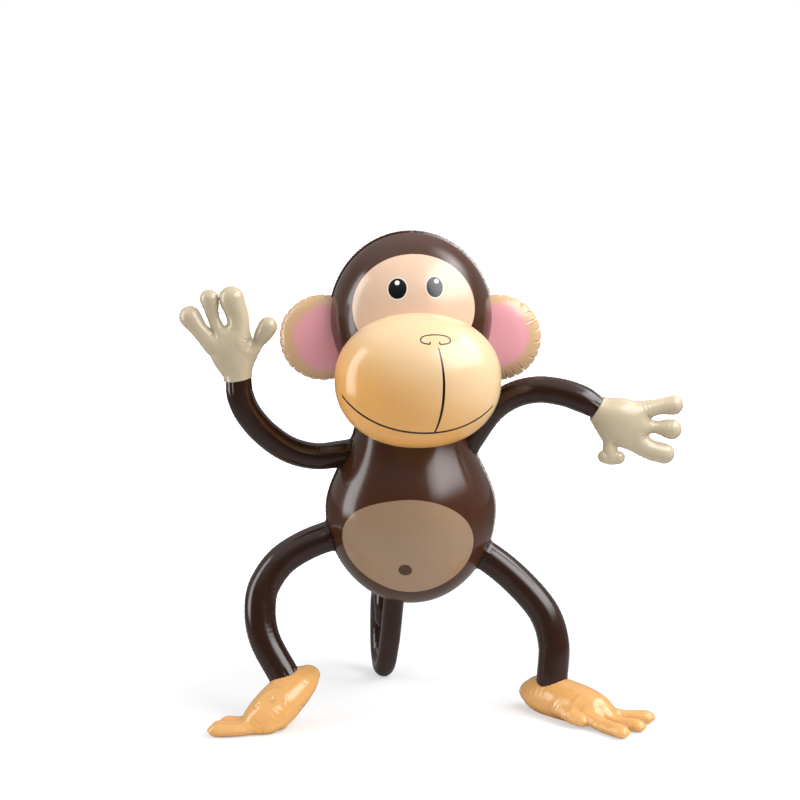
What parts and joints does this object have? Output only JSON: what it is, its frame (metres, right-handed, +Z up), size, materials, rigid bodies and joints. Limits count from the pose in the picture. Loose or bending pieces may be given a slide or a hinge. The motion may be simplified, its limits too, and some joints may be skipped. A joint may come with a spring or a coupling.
{
  "type": "inflatable vinyl monkey",
  "caption": "Inflatable vinyl monkey standing on its feet and curled tail, with bent tube arms and legs, an oval muzzle and flat round ears.",
  "frame": {"origin": "middle of the base of the whole figure's box, on the floor that the feet and the tail stand on", "axes": "+Z up, -Y the way the figure faces, +X towards its own left side"},
  "size_m": [0.694, 0.3832, 0.676],
  "materials": {
    "body_vinyl": "glossy printed vinyl film",
    "muzzle_vinyl": "glossy printed vinyl film",
    "ear_vinyl": "glossy printed vinyl film",
    "limb_vinyl": "glossy printed vinyl film",
    "hand_vinyl": "glossy printed vinyl film",
    "foot_vinyl": "glossy printed vinyl film",
    "valve_vinyl": "translucent soft vinyl"
  },
  "bodies": {
    "root": {"body": "body_vinyl", "muzzle": "muzzle_vinyl", "ear_left": "ear_vinyl", "ear_right": "ear_vinyl", "arm_left": "limb_vinyl", "arm_right": "limb_vinyl", "hand_left": "hand_vinyl", "hand_right": "hand_vinyl", "leg_left": "limb_vinyl", "leg_right": "limb_vinyl", "foot_left": "foot_vinyl", "foot_right": "foot_vinyl", "tail": "limb_vinyl", "air_valve": "valve_vinyl"}
  },
  "joints": []
}
